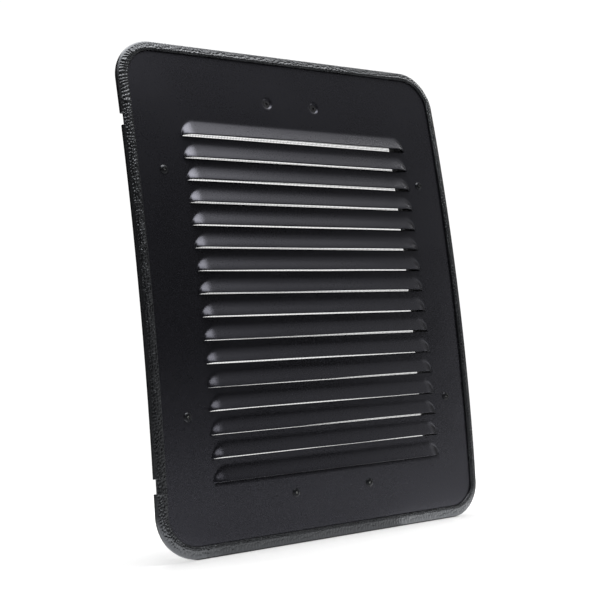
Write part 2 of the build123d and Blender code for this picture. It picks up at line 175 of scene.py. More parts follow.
def hood(u, w, i):
    """Share of the full height, 0..1, at u along and w up from shear line i; below 0 outside the foot."""
    ul, ur = SLOT_L + CAP_L, SLOT_R - CAP_R
    x = CAP_SOFT * np.log(1 + np.exp((ul - u) / CAP_L / CAP_SOFT) + np.exp((u - ur) / CAP_R / CAP_SOFT))
    y = np.maximum(w / FOOT[i], 0)
    left = (ul - u) / CAP_L > (u - ur) / CAP_R
    p, q, a = np.where(left, 1.8, 1.75), np.where(left, 2.05, 1.5), STRAIGHT[i]
    ts = np.linspace(0, 1, 241)
    fs = a * ts + (1 - a) * (0.7 * ts * ts * (3 - 2 * ts) + 0.3 * ts * ts)

    def reach(f):        # how far out along the lip the contour at height f lies
        return np.where(f >= 0, (1 - np.clip(f, 0, 1) ** q) ** (1 / q), 1 - 0.45 * f)

    def rise(f):         # how far up the face that contour lies
        return np.where(f >= 0, 1 - np.interp(np.clip(f, 0, 1), fs, ts), 1 - f / a)

    lo, hi = np.full(np.shape(x), -1.5), np.ones(np.shape(x))
    for _ in range(36):
        f = (lo + hi) / 2
        g = (x / np.maximum(reach(f), 1e-6)) ** p + (y / np.maximum(rise(f), 1e-6)) ** p
        lo, hi = np.where(g < 1, f, lo), np.where(g < 1, hi, f)
    return (lo + hi) / 2


def grid_lines(hard, soft, lo, hi):
    """Sorted grid lines: all the hard ones, and soft ones that keep clear of them."""
    hard = sorted(set(round(x, 4) for x in hard if lo - 1e-6 <= x <= hi + 1e-6))
    out = list(hard)
    for x in sorted(soft):
        if lo < x < hi and min(abs(x - h) for h in out) > 0.3:
            out.append(x)
    return np.array(sorted(out))


def make_panel():
    hw = W / 2 - INSET
    lo_v, hi_v = INSET, H - INSET
    shear = [V_FIRST - i * PITCH for i in range(N_LOUVRE)]
    hole_steps = [2.05, 1.05, 3.4, 5.4]
    dimple_steps = [2.9, 3.7, 4.2, 4.7, 5.2, 5.7, 6.3, 7.4, 9.0, 1.45]
    hard_u = [-hw, hw, SLOT_L, SLOT_R]
    hard_v = [lo_v, hi_v]
    for (u, v) in RIVETS:
        for s in hole_steps:
            hard_u += [u - s, u, u + s]
            hard_v += [v - s, v, v + s]
    for (u, v) in SCREWS:
        for s in dimple_steps:
            hard_u += [u - s, u, u + s]
            hard_v += [v - s, v, v + s]
    rows = [0, 0.35, 0.9, 1.7, 2.8, 4.1, 5.6, 7.2, 8.8, 10.3, 11.7, 13.0, 14.1, 15.0, 15.8, 16.5, 17.2, 18.0, 18.9, 19.6]
    soft_v = list(np.arange(lo_v, hi_v, 5.0)) + [lo_v + 0.8, hi_v - 0.8]
    soft_v = [v for v in soft_v if v < shear[-1] - 1 or v > shear[0] + 19]
    for s in shear:
        hard_v.append(s)
        soft_v += [s + r for r in rows[1:]]
    soft_u = list(np.arange(SLOT_L + 16, SLOT_R - 15, 4.0))
    soft_u += list(SLOT_L + np.arange(-4.8, 16.1, 0.6)) + list(SLOT_R - np.arange(-4.8, 16.1, 0.75))
    soft_u += list(np.arange(-hw, SLOT_L - 5, 4.0)) + list(np.arange(SLOT_R + 5, hw, 4.0)) + [-hw + 0.8, hw - 0.8]
    gu = grid_lines(hard_u, soft_u, -hw, hw)
    gv = grid_lines(hard_v, soft_v, lo_v, hi_v)
    nu, nv = len(gu), len(gv)

    # vertex numbers; the slit rows have a second set for the lip side
    idx = np.arange(nu * nv).reshape(nv, nu)
    idx_up = idx.copy()
    U, V = [np.tile(gu, nv)], [np.repeat(gv, nu)]
    side = [np.zeros(nu * nv)]
    count = nu * nv
    inside = np.where((gu > SLOT_L + 1e-3) & (gu < SLOT_R - 1e-3))[0]
    for s in shear:
        j = int(np.argmin(abs(gv - s)))
        idx_up[j, inside] = count + np.arange(len(inside))
        U.append(gu[inside]); V.append(np.full(len(inside), gv[j])); side.append(np.ones(len(inside)))
        count += len(inside)
    U, V, side = np.concatenate(U), np.concatenate(V), np.concatenate(side)

    # faces: the cell above a slit row uses the lip's vertices
    a, b = idx_up[:-1, :-1], idx_up[:-1, 1:]
    c, d = idx[1:, 1:], idx[1:, :-1]
    quads = np.stack([a, b, c, d], -1).reshape(-1, 4)
    cu = (gu[:-1] + gu[1:]) / 2
    cv = (gv[:-1] + gv[1:]) / 2
    CU, CV = np.meshgrid(cu, cv)
    keep = np.ones(CU.shape, bool)
    for (u, v) in RIVETS:
        keep &= np.maximum(abs(CU - u), abs(CV - v)) > 2.05
    for (u, v) in SCREWS:
        keep &= np.maximum(abs(CU - u), abs(CV - v)) > 2.9
    quads = quads[keep.ravel()]

    # out-of-sheet height (outwards) of the middle surface
    h = np.zeros(len(U)); share = np.zeros(len(U)); V2 = V.copy()
    for i, s in enumerate(shear):
        w = V - s
        m = ((w > 1e-4) & (w < PITCH - 1e-4)) | ((abs(w) < 1e-4) & (side == 1))
        if i == 0:
            m = (w > 1e-4) & (w < 30) | ((abs(w) < 1e-4) & (side == 1))
        f = hood(U[m], w[m], i)
        share[m] = np.clip(f, 0, 1)
        soft = 0.16
        h[m] = soft * np.logaddexp(0, f * LIP_MID / soft)
        # towards the next shear line the sheet is flat again
        h[m] *= 1 - smooth(w[m], 18.3, 19.6) if i else 1
        extra = np.interp(U[m], LIP_PLACES, LIP_EXTRA[i])
        V2[m] += (LIP_UP + extra) * np.clip(f, 0, 1) * np.clip(1 - w[m] / FOOT[i], 0, 1)
        # beyond the slit's ends the foot fades out below the shear line
        m = (abs(w) < 1e-4) & (side == 0) & ((U <= SLOT_L + 1e-3) | (U >= SLOT_R - 1e-3))
        f = hood(U[m], w[m], i)
        h[m] = 0.5 * soft * np.logaddexp(0, f * LIP_MID / soft)
    # dimples round the two recessed screws
    du_all = np.zeros(len(U)); dv_all = np.zeros(len(U))
    holes = []
    for (u, v), kind in [(r, 0) for r in RIVETS] + [(s, 1) for s in SCREWS]:
        b, full, hole = (5.4, 2.05, 2.05) if kind == 0 else (9.0, 6.3, 2.9)
        du, dv = U - u, V - v
        cheb = np.maximum(abs(du), abs(dv))
        m = cheb < b - 1e-6
        r = np.hypot(du, dv)
        k = np.clip((b - cheb) / (b - full), 0, 1)
        scale = np.where(r > 1e-9, cheb / np.maximum(r, 1e-9), 1)
        f = 1 + (scale - 1) * k
        du_all[m] += (du * (f - 1))[m]
        dv_all[m] += (dv * (f - 1))[m]
        if kind == 1:
            rho = np.where(m, np.hypot(du * f, dv * f), 99)
            h -= 1.0 * (1 - smooth(rho, 3.7, 6.0))
        holes.append((u, v, hole, kind))
    U2, V2 = U + du_all, V2 + dv_all

    # rounded corners: the grid's corner squares drawn in to quarter discs
    for (su, sv, r) in ((-1, 1, R_TL), (1, 1, R_TR), (-1, -1, R_BL), (1, -1, R_BR)):
        rc = r - INSET
        cu_, cv_ = su * (W / 2 - r), (H - r) if sv > 0 else r
        x, y = su * (U2 - cu_) / rc, sv * (V2 - cv_) / rc
        m = (x > 0) & (y > 0)
        xn, yn = x * np.sqrt(np.clip(1 - y * y / 2, 0, 1)), y * np.sqrt(np.clip(1 - x * x / 2, 0, 1))
        U2 = np.where(m, cu_ + su * xn * rc, U2)
        V2 = np.where(m, cv_ + sv * yn * rc, V2)

    # the faint unevenness of pressed sheet
    ripple = 0.035 * vnoise(U2 / 55, V2 / 60, 3) + 0.012 * vnoise(U2 / 21, V2 / 19, 4)
    P = surf(U2, V2, -(h + ripple))

    # vertex normals of the middle surface, pointing outwards (-Y)
    fa, fb, fc, fd = (P[quads[:, i]] for i in range(4))
    fn = np.cross(fc - fa, fd - fb)
    n = np.zeros_like(P)
    for i in range(4):
        np.add.at(n, quads[:, i], fn)
    ln = np.linalg.norm(n, axis=1, keepdims=True)
    n = n / np.maximum(ln, 1e-12)
    flip = np.sign(-n[:, 1:2]); flip[flip == 0] = 1
    n = n * flip
    half = (T - 0.2 * share)[:, None] / 2

    used = np.unique(quads)
    remap = np.full(len(U), -1); remap[used] = np.arange(len(used))
    quads = remap[quads]
    P, n, half, share = P[used], n[used], half[used], share[used]
    Uu, Vu = U[used], V[used]
    nvert = len(P)

    # boundary edges and the outward direction at each boundary vertex
    e = np.concatenate([quads[:, [0, 1]], quads[:, [1, 2]], quads[:, [2, 3]], quads[:, [3, 0]]])
    owner = np.tile(np.arange(len(quads)), 4)
    key = np.sort(e, 1)
    order = np.lexsort((key[:, 1], key[:, 0]))
    ks = key[order]
    same = np.all(ks[1:] == ks[:-1], axis=1)
    single = np.ones(len(ks), bool); single[1:] &= ~same; single[:-1] &= ~same
    be = e[order][single]; bo = owner[order][single]
    cen = P[quads].mean(1)[bo]
    mid = (P[be[:, 0]] + P[be[:, 1]]) / 2
    ed = P[be[:, 1]] - P[be[:, 0]]
    nn = (n[be[:, 0]] + n[be[:, 1]]) / 2
    tt = np.cross(ed, nn)
    tt /= np.maximum(np.linalg.norm(tt, axis=1, keepdims=True), 1e-12)
    sgn = np.sign(np.sum(tt * (mid - cen), axis=1, keepdims=True)); sgn[sgn == 0] = 1
    tt *= sgn
    tv = np.zeros_like(P)
    np.add.at(tv, be[:, 0], tt); np.add.at(tv, be[:, 1], tt)
    bverts = np.unique(be)
    tl = np.linalg.norm(tv[bverts], axis=1, keepdims=True)
    tv[bverts] = np.where(tl > 1e-6, tv[bverts] / np.maximum(tl, 1e-12), 0)

    # rim profile: (shift along t, share of half thickness, inset from the face)
    r = 0.22
    shift_o = np.zeros(nvert); shift_i = np.zeros(nvert)
    shift_o[bverts] = -r; shift_i[bverts] = -r
    cone = np.zeros(nvert, bool)
    for (u, v, hole, kind) in holes:
        if kind == 1:
            m = np.zeros(nvert, bool); m[bverts] = True
            m &= np.maximum(abs(Uu - u), abs(Vu - v)) < hole + 1e-3
            shift_o[m], shift_i[m] = -0.8, 0.8
            cone |= m
    outer = P + n * half + tv * shift_o[:, None]
    inner = P - n * half + tv * shift_i[:, None]
    rings = []
    bi = np.full(nvert, -1); bi[bverts] = np.arange(len(bverts))
    Pb, nb, hb, tb = P[bverts], n[bverts], half[bverts], tv[bverts]
    cb = cone[bverts][:, None]
    so, si = shift_o[bverts][:, None], shift_i[bverts][:, None]
    for (kt, kn) in ((-0.29 * r, (1, -0.29 * r)), (0.0, (1, -r)), (0.0, (-1, r)), (-0.29 * r, (-1, 0.29 * r))):
        std = Pb + tb * kt + nb * (kn[0] * hb + kn[1])
        frac = {(1, -0.29 * r): 0.08, (1, -r): 0.35, (-1, r): 0.65, (-1, 0.29 * r): 0.92}[kn]
        con = Pb + tb * (so + (si - so) * frac) + nb * hb * (1 - 2 * frac)
        rings.append(np.where(cb, con, std))
    verts = np.concatenate([outer, inner] + rings)
    q_out = quads
    q_in = quads[:, ::-1] + nvert
    layers = [bverts] + [2 * nvert + k * len(bverts) + np.arange(len(bverts)) for k in range(4)] + [bverts + nvert]
    rim = []
    # orient each rim quad by its own boundary edge, as it runs in its face
    A, B = be[:, 0], be[:, 1]
    for k in range(5):
        la, lb = layers[k], layers[k + 1]
        rim.append(np.stack([la[bi[B]], la[bi[A]], lb[bi[A]], lb[bi[B]]], -1))
    allq = np.concatenate([q_out, q_in] + rim)
    # outward faces wind so that their normal points out
    p = verts[q_out[:1]][0]
    nf = np.cross(p[2] - p[0], p[3] - p[1])
    if nf[1] > 0:
        allq = allq[:, ::-1]
    wear = np.zeros(len(verts))
    wear[bverts] = 0.6; wear[bverts + nvert] = 0.6
    wear[2 * nvert:] = 1.0
    raised = np.concatenate([share, share] + [share[bverts]] * 4)
    return mesh_object("louvred_sheet", verts, allq, attrs={"wear": wear, "raised": raised})


panel = make_panel()
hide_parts("louvre_panel")
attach(panel, "root")


# =============================================================================
# the edge trim
# =============================================================================
def outline():
    """Stations along the outer edge, from the joint up the left side and round: u, v, outward normal, length."""
    hw = W / 2
    out = []
    step = 0.5

    def line(u0, v0, u1, v1, nu, nv):
        n = max(1, int(round(math.hypot(u1 - u0, v1 - v0) / step)))
        for i in range(n):
            k = i / n
            out.append((u0 + (u1 - u0) * k, v0 + (v1 - v0) * k, nu, nv))

    def arc(cu, cv, r, a0, a1):
        n = max(2, int(round(abs(a1 - a0) * (r - 3) / step)))
        for i in range(n):
            a = a0 + (a1 - a0) * i / n
            out.append((cu + r * math.cos(a), cv + r * math.sin(a), math.cos(a), math.sin(a)))

    pi = math.pi
    line(-hw, JOINT_V, -hw, H - R_TL, -1, 0)
    arc(-hw + R_TL, H - R_TL, R_TL, pi, pi / 2)
    line(-hw + R_TL, H, hw - R_TR, H, 0, 1)
    arc(hw - R_TR, H - R_TR, R_TR, pi / 2, 0)
    line(hw, H - R_TR, hw, R_BR, 1, 0)
    arc(hw - R_BR, R_BR, R_BR, 0, -pi / 2)
    line(hw - R_BR, 0, -hw + R_BL, 0, 0, -1)
    arc(-hw + R_BL, R_BL, R_BL, -pi / 2, -pi)
    line(-hw, R_BL, -hw, JOINT_V, -1, 0)
    out.append((-hw, JOINT_V, -1, 0))
    a = np.array(out)
    ds = np.hypot(np.diff(a[:, 0]), np.diff(a[:, 1]))
    return a, np.concatenate([[0], np.cumsum(ds)])


def arc_pts(cx, cy, r, a0, a1, n):
    return [(cx + r * math.cos(math.radians(a)), cy + r * math.sin(math.radians(a))) for a in np.linspace(a0, a1, n)]


def run(p, q, n):
    return [(p[0] + (q[0] - p[0]) * i / n, p[1] + (q[1] - p[1]) * i / n) for i in range(n)]


def trim_section(notched):
    """Closed section: points (x outwards, y inwards), and how much of the grain each takes."""
    # blunt tip of the front leg
    front = [(-9.2, -0.78, 0), (-9.75, -0.8, 0), (-10.08, -0.92, 0), (-10.2, -1.15, 0)]
    # its rounded end and its face, rising gently to the crest
    front += [(-10.15, -1.5, 0), (-9.95, -1.95, 0.1), (-9.6, -2.35, 0.4)]
    for k in range(13):
        x = -9.2 + 3.4 * k / 12
        front.append((x, -3.33 + 0.72 * (1 - k / 12) ** 1.3, min(1.0, 0.5 + k / 4)))
    front += [(-5.6, -3.345, 1), (-5.4, -3.35, 1), (-5.2, -3.33, 1), (-5.0, -3.28, 1)]
    # the long bevel from the crest to the rounded outer edge, its last part smooth
    for k in range(17):
        x = -4.8 + 3.8 * k / 16
        front.append((x, -3.2 + 2.006 * k / 16, 0.06 + 0.94 * float(smooth(-x, 1.0, 2.2))))
    for k in range(1, 9):
        t = math.radians(27.8 + 62.2 * k / 8)
        front.append((-1.8 + 1.8 * math.sin(t), 0.42 - 1.8 * math.cos(t), 0.06))
    if notched:
        front = [q for q in front if q[1] < NOTCH_Y - 0.05 or q[0] < -9]
        crown = [(-0.9, NOTCH_Y, 0), (-1.6, NOTCH_Y, 0), (-2.6, NOTCH_Y, 0)]
        inner = []
    else:
        crown = [(0, 1.0, 0.05), (-0.03, 1.6, 0.05), (-0.2, 2.2, 0.05), (-0.55, 2.66, 0.05), (-1.1, 2.94, 0.1), (-1.8, 3.06, 0.3)]
        for x, y in ((-2.5, 3.1), (-3.1, 3.1), (-3.9, 3.1), (-4.7, 3.08), (-5.5, 3.02), (-6.3, 2.94), (-7.1, 2.84), (-7.9, 2.72), (-8.7, 2.56), (-9.4, 2.38)):
            crown.append((x, y, 0.8))
        crown += [(-9.92, 2.05, 0.7), (-10.16, 1.6, 0.4), (-10.06, 1.12, 0.1), (-9.75, 0.86, 0), (-9.3, 0.78, 0)]
        inner = [(-8.6, 1.1, 0), (-7.1, 1.1, 0), (-6.7, 0.78, 0), (-6.4, 0.78, 0), (-5.8, 1.1, 0), (-4.9, 1.1, 0), (-4.5, 0.78, 0), (-4.2, 0.78, 0), (-3.6, 1.1, 0), (-2.2, 1.1, 0)]
        inner += [(-2.2, -0.82, 0), (-3.2, -1.1, 0)]
    inner += [(-3.6, -1.1, 0), (-4.2, -0.78, 0), (-4.5, -0.78, 0), (-4.9, -1.1, 0), (-5.8, -1.1, 0), (-6.4, -0.78, 0), (-6.7, -0.78, 0), (-7.1, -1.1, 0), (-8.6, -1.1, 0)]
    pts = np.array(front + crown + inner)
    return pts[:, :2], pts[:, 2]


def leg_length(st):
    """Length of the trim's legs at each station: the soft strip sits a little deeper along the top."""
    left, right, top, low = 10.8, 8.7, 8.9, 11.2
    wu, wv = np.clip(st[:, 2], -1, 1), np.clip(st[:, 3], -1, 1)
    side = np.where(wu < 0, left, right)
    end = np.where(wv > 0, top, low)
    return side * wu * wu + end * wv * wv


def crest_place(st):
    """How far in from the crown the trim is thickest, at each station: it leans over along the top and bottom."""
    left, right, top, low = 4.8, 6.0, 7.2, 8.3
    wu, wv = np.clip(st[:, 2], -1, 1), np.clip(st[:, 3], -1, 1)
    return np.where(wu < 0, left, right) * wu * wu + np.where(wv > 0, top, low) * wv * wv


def set_out(X, p, st):
    """Section x at each station, with the legs' length and the crest's place there."""
    L, c = leg_length(st)[:, None], crest_place(st)[:, None]
    plain = np.where(X < -3.4, -3.4 + (X + 3.4) * (L - 3.4) / (TRIM_H - 3.4), X)
    lean = np.where(X < -5.4, -c + (X + 5.4) * (L - c) / (TRIM_H - 5.4), np.where(X < -1.1, -1.1 + (X + 1.1) * (c - 1.1) / 4.3, X))
    share = smooth(-p[:, 1], 1.2, 1.7)[None]
    return plain + (lean - plain) * share - 0.07


def section_normals(p):
    d = np.roll(p, -1, 0) - np.roll(p, 1, 0)
    n = np.stack([-d[:, 1], d[:, 0]], -1)
    n /= np.maximum(np.linalg.norm(n, axis=1, keepdims=True), 1e-9)
    c = p.mean(0)
    if np.sum(n * (p - c)) < 0:
        n = -n
    return n


def grain(s, q, st):
    """Depth of the embossed grain, 0 on its tops, at s along and q across."""
    bend = 0.8 * vnoise(s / 9, q / 5, 21)
    f1, f2, own = cells((s + bend + 0.35 * q) / 2.9, (q + 0.8 * vnoise(s / 6, q / 3, 22)) / 2.9, 31, 0.8)
    pebble = smooth(f2 - f1, 0.0, 0.42)
    g1, g2, _ = cells(s / 0.95, q / 1.0, 41, 0.9)
    fine = smooth(g2 - g1, 0.0, 0.5)
    depth = 0.6 * (1 - pebble) * (0.7 + 0.6 * own) + 0.03 * (1 - fine) + 0.05 * (0.5 + 0.5 * vnoise(s / 3.1, q / 2.2, 51))
    return depth


def trim_sweep(st, ss, notched, ss_end):
    """Sweeps the section along the stations, with its grain, and closes both ends."""
    p, g = trim_section(notched)
    nrm = section_normals(p)
    q = np.concatenate([[0], np.cumsum(np.hypot(*np.diff(p, axis=0).T))])
    S, Q = np.meshgrid(ss, q, indexing="ij")
    G = np.broadcast_to(g, S.shape)
    depth = grain(S, Q, st) * G
    # gathered folds where the leg is drawn round the top left corner
    s_c = H - R_TL - JOINT_V              # where that corner starts
    env = smooth(S, s_c - 21, s_c - 17) * (1 - smooth(S, s_c + 44, s_c + 68))
    phase = S / 3.5 + 0.7 * vnoise(S / 8, Q / 7, 61) + Q * 0.09
    fold = (0.5 - 0.5 * np.cos(2 * math.pi * phase)) ** 1.2
    leg = G * (p[:, 1] < 0) * smooth(-p[:, 0], 1.6, 3.0)
    depth = depth * (1 - 0.6 * env) + 0.8 * env * fold * (0.75 + 0.5 * vnoise(S / 4, Q / 12, 62)) * leg
    # the last and boldest of those folds, with the hollow below it
    s_f = H - 58.9 - JOINT_V
    bold = 0.45 * np.exp(-((S - s_f - 0.12 * Q) / 0.85) ** 2) - 0.3 * np.exp(-((S - s_f - 0.12 * Q + 2.2) / 0.9) ** 2)
    depth = depth - bold * smooth(-p[:, 0], 1.6, 3.0)[None] * (p[:, 1] < -1.0)[None]
    # a low ridge where the strip's last end meets its first
    if not notched:
        depth = depth - 0.5 * np.exp(-((S - ss_end) / 0.8) ** 2) * smooth(-p[:, 0], 1.0, 2.6)[None] * (p[:, 1] < -1.0)[None]
    room = np.where(p[:, 1] < 0, np.maximum(-p[:, 1] - np.interp(-p[:, 0], [0, 1.3, 1.75], [0.2, 0.85, 1.6]), 0.04), 9.0)
    depth = np.minimum(depth, room[None])
    X = p[:, 0][None] - nrm[:, 0][None] * depth
    X = set_out(X, p, st)
    Y = p[:, 1][None] - nrm[:, 1][None] * depth
    U = st[:, 0][:, None] + st[:, 2][:, None] * X
    V = st[:, 1][:, None] + st[:, 3][:, None] * X
    P = surf(U, V, Y)
    ns, npt = S.shape
    idx = np.arange(ns * npt).reshape(ns, npt)
    a, b = idx[:-1], idx[1:]
    quads = np.stack([a, np.roll(a, -1, 1), np.roll(b, -1, 1), b], -1).reshape(-1, 4)
    verts = P.reshape(-1, 3)
    # ends: the section is filled with triangles
    from mathutils.geometry import tessellate_polygon
    tri = np.array(tessellate_polygon([[Vector((x, y, 0)) for x, y in p]]))
    tris = np.concatenate([tri + idx[0, 0], tri[:, ::-1] + idx[-1, 0]])
    # consistent winding, normals out
    i = npt // 3
    pf = verts[quads[i]]
    nf = np.cross(pf[2] - pf[0], pf[3] - pf[1])
    ref = surf(st[0, 0] + st[0, 2] * (p[i, 0] + nrm[i, 0]), st[0, 1] + st[0, 3] * (p[i, 0] + nrm[i, 0]), p[i, 1] + nrm[i, 1]) \
        - surf(st[0, 0] + st[0, 2] * p[i, 0], st[0, 1] + st[0, 3] * p[i, 0], p[i, 1])
    if np.dot(nf, ref) < 0:
        quads = quads[:, ::-1]
    # painted shade: the legs' tips and the flat outer side get the darkest colour, standing in for the shadow in the
    # gap under the tips and the dark that the outer side faces
    painted_edge_shade = np.maximum(smooth(-p[:, 0], 9.45, 9.85), smooth(p[:, 1], -0.5, 0.4) * smooth(p[:, 0], -2.0, -0.5))
    # painted shade: the grain's hollows get darker with their depth and its tops stay paler, standing in for how
    # light falls on the grain
    painted_shade = np.maximum(np.clip(depth / 0.42, 0, 1), painted_edge_shade[None])
    attrs = {"painted_shade": painted_shade.ravel(), "grained": G.ravel()}
    return verts, quads, tris, attrs


def make_trim():
    st, ss = outline()
    parts = []

    def cut(s0, s1, notched):
        m = (ss > s0 + 0.12) & (ss < s1 - 0.12)
        si = np.concatenate([[s0], ss[m], [s1]])
        stn = np.stack([np.interp(si, ss, st[:, k]) for k in range(4)], -1)
        parts.append(trim_sweep(stn, si, notched, ss[-1] - 0.6))

    end = ss[-1]
    n0 = (NOTCHES[0][0] - JOINT_V, NOTCHES[0][1] - JOINT_V)
    n1 = (NOTCHES[1][0] - JOINT_V, NOTCHES[1][1] - JOINT_V)
    cut(0.15, n0[1], True)
    cut(n0[1], n1[0], False)
    cut(n1[0], n1[1], True)
    cut(n1[1], end - 0.15, False)
    verts, quads, tris, shade_parts, gr, base = [], [], [], [], [], 0
    for (v_, q_, t_, a_) in parts:
        verts.append(v_); quads.append(q_ + base); tris.append(t_ + base)
        shade_parts.append(a_["painted_shade"]); gr.append(a_["grained"])
        base += len(v_)
    # the painted shade of the grain, the tips and the outer side goes along as a point attribute
    return mesh_object("grained_edge_trim", np.concatenate(verts), np.concatenate(quads), np.concatenate(tris),
                       {"painted_shade": np.concatenate(shade_parts), "grained": np.concatenate(gr)})


trim = make_trim()
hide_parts("edge_trim")
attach(trim, "root")


def make_clip():
    """The spring steel strip inside the trim, bent to a U with eased corners; at the notches only its front leg stays."""
    st, ss = outline()
    whole = [(-8.5, -1.5), (-3.0, -1.5), (-1.75, -1.2), (-1.3, -0.75), (-1.3, 0.75), (-1.75, 1.5), (-3.0, 1.55), (-8.5, 1.55),
             (-8.5, 1.3), (-3.0, 1.3), (-1.95, 1.25), (-1.6, 0.7), (-1.55, -0.6), (-1.95, -1.0), (-3.05, -1.25), (-8.5, -1.25)]
    leg = [(-8.5, -1.5), (-3.0, -1.5), (-3.0, -1.25), (-8.5, -1.25)]
    end = ss[-1]
    n0 = (NOTCHES[0][0] - JOINT_V, NOTCHES[0][1] - JOINT_V)
    n1 = (NOTCHES[1][0] - JOINT_V, NOTCHES[1][1] - JOINT_V)
    from mathutils.geometry import tessellate_polygon
    verts, quads, tris, base = [], [], [], 0
    for s0, s1, section in ((0.6, n0[1], leg), (n0[1] + 0.3, n1[0] - 0.3, whole), (n1[0], n1[1], leg), (n1[1] + 0.3, end - 0.6, whole)):
        p = np.array(section)
        si = np.concatenate([[s0], ss[(ss > s0 + 0.4) & (ss < s1 - 0.4)][::4], [s1]])
        stn = np.stack([np.interp(si, ss, st[:, k]) for k in range(4)], -1)
        X = np.where(p[:, 0][None] < -3.4, -3.4 + (p[:, 0][None] + 3.4) * ((leg_length(stn) - 3.4) / (TRIM_H - 3.4))[:, None], p[:, 0][None]) - 0.07
        X = np.broadcast_to(X, (len(si), len(p)))
        P = surf(stn[:, 0][:, None] + stn[:, 2][:, None] * X, stn[:, 1][:, None] + stn[:, 3][:, None] * X, np.broadcast_to(p[:, 1], X.shape))
        idx = base + np.arange(X.size).reshape(X.shape)
        a, b = idx[:-1], idx[1:]
        q = np.stack([a, np.roll(a, -1, 1), np.roll(b, -1, 1), b], -1).reshape(-1, 4)
        tri = np.array(tessellate_polygon([[Vector((x, y, 0)) for x, y in p]]))
        # outward winding: the first side, on the front, faces -Y
        flat = P.reshape(-1, 3)
        v0, v1, v2 = flat[q[0][0] - base], flat[q[0][1] - base], flat[q[0][2] - base]
        if np.cross(v1 - v0, v2 - v1)[1] > 0:
            q = q[:, ::-1]
        verts.append(flat); quads.append(q)
        tris.append(tri + idx[0, 0]); tris.append(tri[:, ::-1] + idx[-1, 0])
        base += X.size
    o = mesh_object("clip_strip", np.concatenate(verts), np.concatenate(quads), np.concatenate(tris))
    for poly in o.data.polygons:
        poly.use_smooth = False
    return o


clip = make_clip()
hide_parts("trim_clip_core")
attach(clip, "root")


# =============================================================================
# the insect mesh: two layers of crossing threads
# =============================================================================
def make_mesh():
    pitch, r = 1.6, 0.15
    verts, quads, base = [], [], 0
    k = 6
    ang = 2 * math.pi * np.arange(k) / k
    v_pts = np.linspace(MESH_V[0], MESH_V[1], 34)
    n_up = int(2 * MESH_U / pitch)
    for i in range(n_up + 1):
        u = -MESH_U + 0.3 + i * (2 * MESH_U - 0.6) / n_up
        uu = u + 0.25 * vnoise(v_pts / 60, np.full(len(v_pts), i * 0.13), 71)
        uu = np.clip(uu, -MESH_U + r, MESH_U - r)
        ring = np.stack([surf(uu + r * math.cos(t), v_pts, MESH_Y - 0.07 + r * math.sin(t)) for t in ang], 1)
        verts.append(ring.reshape(-1, 3))
        idx = base + np.arange(len(v_pts) * k).reshape(-1, k)
        a, b = idx[:-1], idx[1:]
        quads.append(np.stack([a, b, np.roll(b, -1, 1), np.roll(a, -1, 1)], -1).reshape(-1, 4))
        base += len(v_pts) * k
    u_pts = np.linspace(-MESH_U, MESH_U, 12)
    n_ac = int((MESH_V[1] - MESH_V[0]) / pitch)
    for j in range(n_ac + 1):
        v = MESH_V[0] + 0.3 + j * (MESH_V[1] - MESH_V[0] - 0.6) / n_ac
        vv = v + 0.3 * vnoise(u_pts / 70, np.full(len(u_pts), j * 0.11), 72)
        vv = np.clip(vv, MESH_V[0] + r, MESH_V[1] - r)
        ring = np.stack([surf(u_pts, vv + r * math.cos(t), MESH_Y + 0.07 + r * math.sin(t)) for t in ang], 1)
        verts.append(ring.reshape(-1, 3))
        idx = base + np.arange(len(u_pts) * k).reshape(-1, k)
        a, b = idx[:-1], idx[1:]
        quads.append(np.stack([a, np.roll(a, -1, 1), np.roll(b, -1, 1), b], -1).reshape(-1, 4))
        base += len(u_pts) * k
    return mesh_object("insect_mesh_threads", np.concatenate(verts), np.concatenate(quads))


net = make_mesh()
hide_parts("insect_mesh")
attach(net, "root")


# =============================================================================
# materials
# =============================================================================
def new_material(name):
    m = bpy.data.materials.new(name)
    m.use_nodes = True
    nt = m.node_tree
    b = nt.nodes["Principled BSDF"]
    return m, nt, b


def node(nt, kind, **values):
    n = nt.nodes.new(kind)
    for k, v in values.items():
        if hasattr(n, k):
            setattr(n, k, v)
        else:
            n.inputs[k].default_value = v
    return n


def noise(nt, scale, detail=2.0, rough=0.5, coord="Object"):
    tc = node(nt, "ShaderNodeTexCoord")
    n = node(nt, "ShaderNodeTexNoise")
    n.inputs["Scale"].default_value = scale
    n.inputs["Detail"].default_value = detail
    n.inputs["Roughness"].default_value = rough
    nt.links.new(tc.outputs[coord], n.inputs["Vector"])
    return n


def ramp(nt, source, stops):
    r = node(nt, "ShaderNodeValToRGB")
    el = r.color_ramp.elements
    while len(el) < len(stops):
        el.new(0.5)
    for e, (pos, col) in zip(el, stops):
        e.position = pos
        e.color = (*col, 1) if len(col) == 3 else (col[0], col[0], col[0], 1)
    nt.links.new(source, r.inputs["Fac"])
    return r


def span(nt, source, lo, hi, a=0.0, b=1.0):
    m = node(nt, "ShaderNodeMapRange")
    m.inputs["From Min"].default_value = a
    m.inputs["From Max"].default_value = b
    m.inputs["To Min"].default_value = lo
    m.inputs["To Max"].default_value = hi
    nt.links.new(source, m.inputs["Value"])
    return m


def bump(nt, height, distance, strength=1.0, normal=None):
    b = node(nt, "ShaderNodeBump")
    b.inputs["Distance"].default_value = distance
    b.inputs["Strength"].default_value = strength
    nt.links.new(height, b.inputs["Height"])
    if normal is not None:
        nt.links.new(normal, b.inputs["Normal"])
    return b


